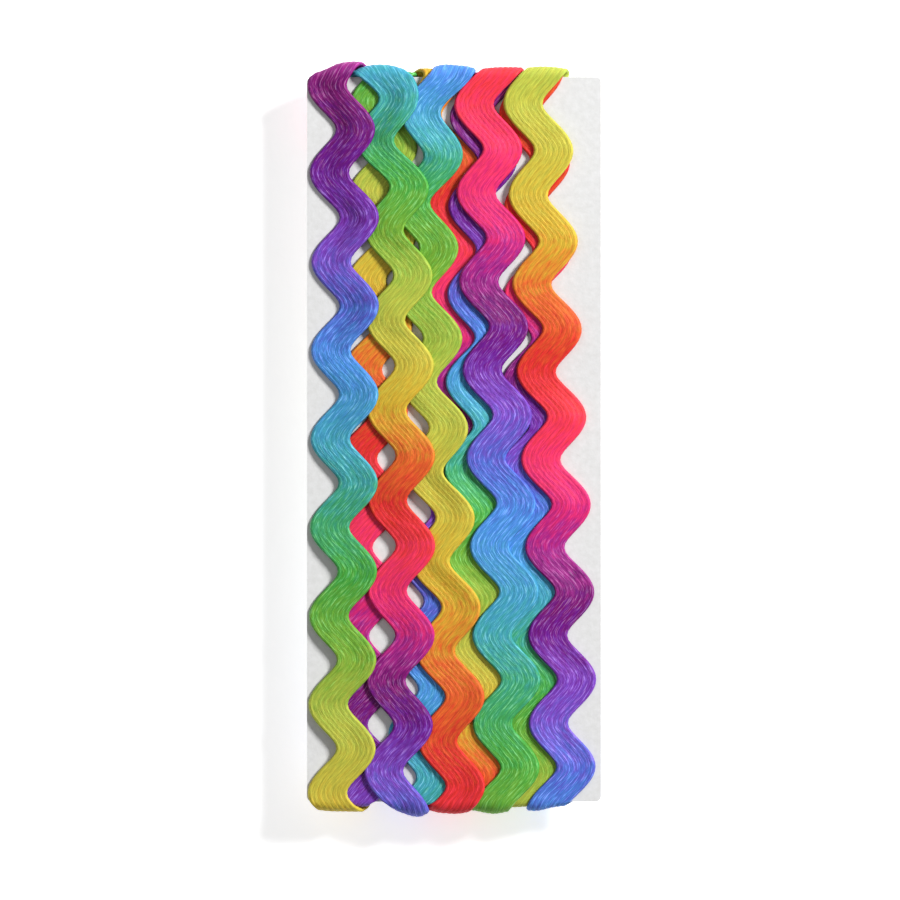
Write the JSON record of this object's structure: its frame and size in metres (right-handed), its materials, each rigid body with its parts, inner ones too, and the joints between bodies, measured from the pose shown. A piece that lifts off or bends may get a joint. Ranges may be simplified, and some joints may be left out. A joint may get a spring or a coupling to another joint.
{
  "type": "roll of ric rac wound on a flat card",
  "caption": "One long wavy rainbow-printed braid wound lengthwise round a flat white card, turn beside and over turn, lying on its back.",
  "frame": {"origin": "middle of the footprint, on the surface that the back lies on", "axes": "+X across the card to the right as seen from the front, +Y along the card to the top of the picture, +Z out of the front"},
  "size_m": [0.0552, 0.1468, 0.0131],
  "materials": {
    "ric_rac": "soft satin braid, printed in bands of the rainbow's colours along its length",
    "card": "plain white uncoated board"
  },
  "bodies": {
    "root": {"card_core": "card", "ric_rac": "ric_rac"}
  },
  "joints": []
}
